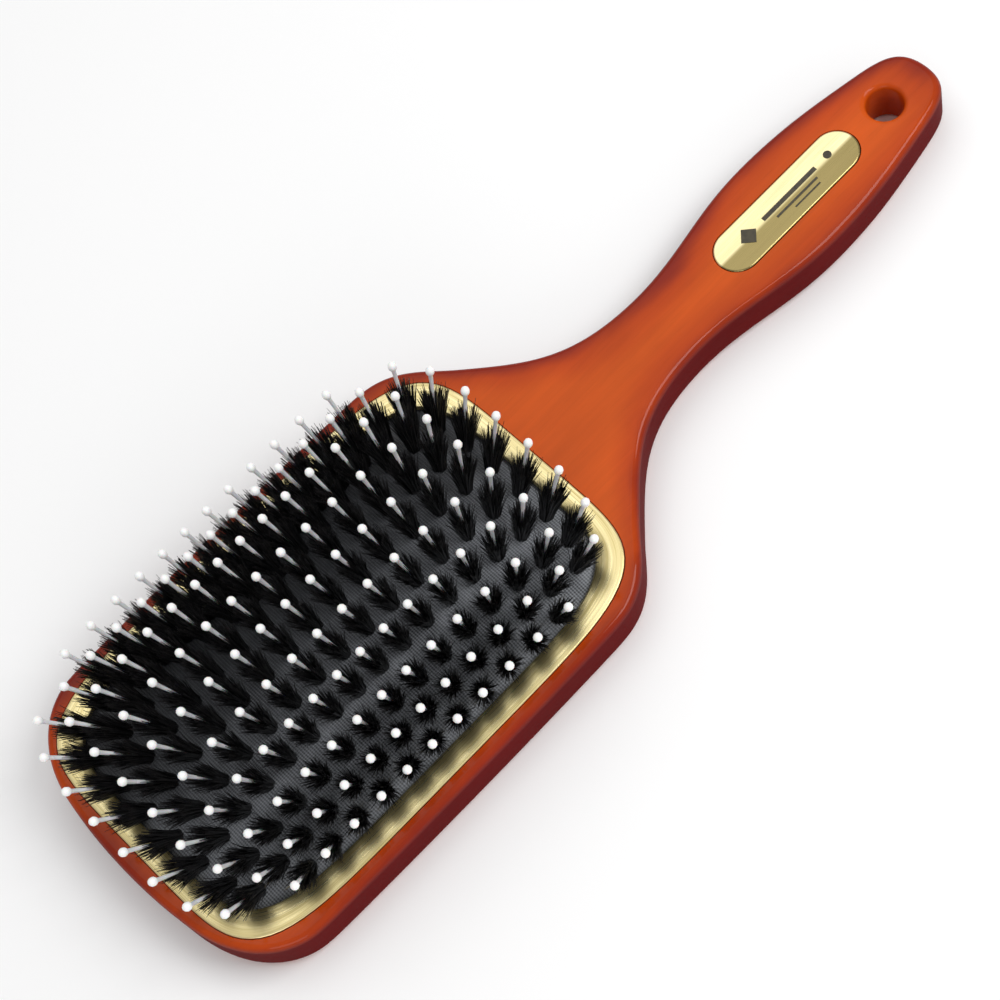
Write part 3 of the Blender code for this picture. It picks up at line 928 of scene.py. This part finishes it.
def nylonMaterials():
    shaftMaterial, tree, shader, place = newMaterial(
        "nylonShaft", IOR=1.5, Specular_IOR_Level=0.5, Subsurface_Weight=0.2, Subsurface_Scale=0.5 * mm
    )
    tone = streaks(tree, place, (200.0, 200.0, 90.0), 2.0)
    colour = mixColour(tree, rangeNode(tree, tone, 0.3, 0.7), *pin["shaftColours"])
    tree.links.new(colour, shader.inputs["Base Color"])
    tree.links.new(rangeNode(tree, tone, 0.3, 0.7, 0.22, 0.34), shader.inputs["Roughness"])
    ballMaterial, tree, shader, place = newMaterial(
        "nylonBall", IOR=1.5, Specular_IOR_Level=0.5, Subsurface_Weight=0.15, Subsurface_Scale=0.4 * mm
    )
    tone = streaks(tree, place, (500.0, 500.0, 500.0), 2.0)
    colour = mixColour(tree, rangeNode(tree, tone, 0.3, 0.7), *pin["ballColours"])
    tree.links.new(colour, shader.inputs["Base Color"])
    tree.links.new(rangeNode(tree, tone, 0.3, 0.7, 0.20, 0.32), shader.inputs["Roughness"])
    return shaftMaterial, ballMaterial


def plant(bm, template, matrix):
    before = len(bm.verts)
    bm.from_mesh(template)
    bm.verts.ensure_lookup_table()
    bmesh.ops.transform(bm, matrix=matrix, verts=bm.verts[before:])


def makeRows():
    strand = strandMesh()
    tufts = [tuftMesh(strand, seed) for seed in range(bristle["variants"])]
    onePin = pinMesh()
    black = bristleMaterial()
    shaftMaterial, ballMaterial = nylonMaterials()
    draw = random.Random(11)
    for letter, share, count in rows["columns"]:
        x = share * domeHalfWidth
        tuftBm, pinBm = bmesh.new(), bmesh.new()
        for y in tuftPlaces(x, count):
            stem = stemMatrix(x, y, draw.uniform(0, math.tau))
            plant(tuftBm, draw.choice(tufts), stem)
            plant(pinBm, onePin, stem)
        tuftPiece = objectFrom(f"bristles_{letter}", tuftBm, black)
        settle(tuftPiece, f"row_{letter}", "boar_bristle", f"tuft_row_{letter}")
        pinPiece = objectFrom(f"pins_{letter}", pinBm, shaftMaterial, ballMaterial)
        settle(pinPiece, f"row_{letter}", "white_nylon", f"pin_row_{letter}")


makeRows()

# blank badge let into the grip

badge = {
    "edge": 0.5 * mm,
    "colour": (0.97, 0.86, 0.50),
    "shadeColour": (0.86, 0.74, 0.38),
    # the dark colour paints a darker reflection on one long half of the plate
    "darkColour": (0.34, 0.27, 0.11),
    "reflectionBlend": 0.6 * mm,
    "roughness": 0.22,
    "relief": 0.03,
    "enamelColours": ((0.030, 0.024, 0.012), (0.060, 0.048, 0.024)),
    "enamelDeep": 0.16 * mm,
    # x, y, width, length and turn of each bar in mm and degrees, then x, y and radius of a disc
    "enamelBars": (
        (-0.7, 1.5, 1.1, 17.0, 0),
        (1.3, 2.0, 0.55, 13.0, 0),
        (2.7, 4.0, 0.4, 8.0, 0),
        (-0.4, -12.0, 3.4, 3.4, 45),
    ),
    "enamelDisc": (-0.9, 14.2, 1.0),
}


def enamel(made):
    for vert in made["verts"]:
        for face in vert.link_faces:
            face.material_index = 1


def enamelMaterial():
    material, tree, shader, place = newMaterial("darkEnamel", Roughness=0.4)
    tone = streaks(tree, place, (900.0, 900.0, 900.0), 2.0)
    colour = mixColour(tree, rangeNode(tree, tone, 0.3, 0.7), *badge["enamelColours"])
    tree.links.new(colour, shader.inputs["Base Color"])
    return material


def makeBadge():
    middle = (badgeLow.y + badgeHigh.y) / 2
    halfLength = (badgeHigh.y - badgeLow.y) / 2
    bm = slab(stadiumOutline(badgeHigh.x, halfLength, middle), badgeLow.z, badgeHigh.z)
    roundEdgesAt(bm, badgeHigh.z, badge["edge"], 5)
    # plain enamel marks stand a hair above the plate: three lines, a lozenge and a disc
    deep = badge["enamelDeep"]
    for x, y, wide, long, turn in badge["enamelBars"]:
        place = Matrix.Translation((x * mm, middle + y * mm, badgeHigh.z))
        place = place @ Matrix.Rotation(math.radians(turn), 4, "Z")
        place = place @ Matrix.Diagonal((wide * mm, long * mm, deep, 1))
        enamel(bmesh.ops.create_cube(bm, size=1.0, matrix=place))
    x, y, radius = badge["enamelDisc"]
    place = Matrix.Translation((x * mm, middle + y * mm, badgeHigh.z))
    place = place @ Matrix.Diagonal((radius * mm, radius * mm, deep, 1))
    disc = bmesh.ops.create_cone(
        bm, cap_ends=True, segments=28, radius1=1.0, radius2=1.0, depth=1.0, matrix=place
    )
    enamel(disc)
    gold = goldMaterial("polishedBrass", badge, None)
    piece = objectFrom("badgePlate", bm, gold, enamelMaterial())
    shadeSmooth(piece, 40)
    piece.modifiers.new("facing", "WEIGHTED_NORMAL").keep_sharp = True
    settle(piece, "body", "polished_brass", "badge_plate")


makeBadge()

# hidden film under the badge: its own solid stays, with a finish of its own

film = {"colours": ((0.66, 0.64, 0.56), (0.76, 0.74, 0.66)), "roughness": 0.6}


def adhesiveFilm():
    material, tree, shader, place = newMaterial("adhesiveFilm", Roughness=film["roughness"])
    tone = streaks(tree, place, (400.0, 400.0, 400.0), 2.0)
    colour = mixColour(tree, rangeNode(tree, tone, 0.3, 0.7), *film["colours"])
    tree.links.new(colour, shader.inputs["Base Color"])
    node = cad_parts["badge_adhesive"]
    node.data.materials.clear()
    node.data.materials.append(material)
    print("finished the adhesive film")


adhesiveFilm()
